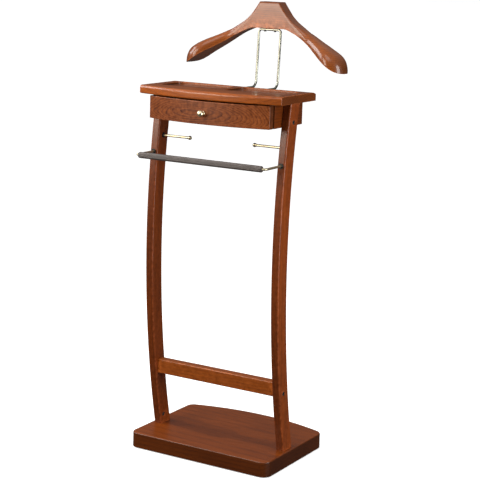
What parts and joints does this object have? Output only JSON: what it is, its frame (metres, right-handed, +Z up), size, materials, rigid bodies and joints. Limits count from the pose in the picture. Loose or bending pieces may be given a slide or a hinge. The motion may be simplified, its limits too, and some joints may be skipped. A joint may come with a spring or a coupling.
{
  "type": "valet stand",
  "caption": "Wooden valet stand: bowed posts on a thick base board, a drawer under a coin tray, a trouser bar, tie pegs and a contoured suit hanger on a wire.",
  "frame": {"origin": "on the floor under the middle of the stand's bounding box, between the two posts", "axes": "+X to the right as one faces the drawer, -Y out of the drawer's front, +Z up along the posts"},
  "size_m": [0.443, 0.342, 1.0951],
  "materials": {
    "cherry_wood": "reddish-brown cherry stain under satin-gloss lacquer",
    "drawer_front_wood": "flat-sawn boards with bold arched grain, same stain and lacquer",
    "hanger_wood": "lighter stain, glossy lacquer",
    "inside_wood": "plain pale wood, unlacquered",
    "dowel_wood": "bare beech",
    "brass": "polished",
    "chrome": "polished plating",
    "zinc": "zinc plated",
    "grip_foam": "ribbed foam rubber, matt",
    "black_trim": "matt black",
    "glide_plastic": "matt black"
  },
  "bodies": {
    "stand": {"base_board": "cherry_wood", "base_glides": "glide_plastic", "left_post": "cherry_wood", "right_post": "cherry_wood", "lower_rail": "cherry_wood", "tray_top": "cherry_wood", "case_left_side": "cherry_wood", "case_right_side": "cherry_wood", "case_back": "cherry_wood", "left_runner": "inside_wood", "right_runner": "inside_wood", "runner_screws": "zinc", "drawer_stop": "inside_wood", "stop_screw": "zinc", "trouser_bar": "brass", "bar_grip": "grip_foam", "bar_ferrules": "black_trim", "left_peg": "brass", "right_peg": "brass", "peg_balls": "brass", "peg_ferrules": "black_trim", "hanger_wire": "chrome", "wire_screws": "zinc", "hanger": "hanger_wood", "hanger_screws": "zinc", "base_bolts": "zinc", "base_washers": "zinc", "base_barrel_nuts": "zinc", "base_dowels": "dowel_wood", "rail_bolts": "zinc", "rail_barrel_nuts": "zinc", "rail_dowels": "dowel_wood", "case_bolts": "zinc", "case_inserts": "brass", "case_dowels": "dowel_wood", "case_back_dowels": "dowel_wood", "tray_dowels": "dowel_wood"},
    "drawer": {"drawer_front": "drawer_front_wood", "drawer_left_side": "inside_wood", "drawer_right_side": "inside_wood", "drawer_back": "inside_wood", "drawer_bottom": "inside_wood", "drawer_knob": "brass", "knob_screw": "zinc", "drawer_dowels": "dowel_wood", "drawer_brads": "zinc"}
  },
  "joints": [
    {"name": "drawer_slide", "type": "slide", "parent": "stand", "child": "drawer", "axis": [0, -1, 0], "range_m": [0, 0.085]}
  ]
}
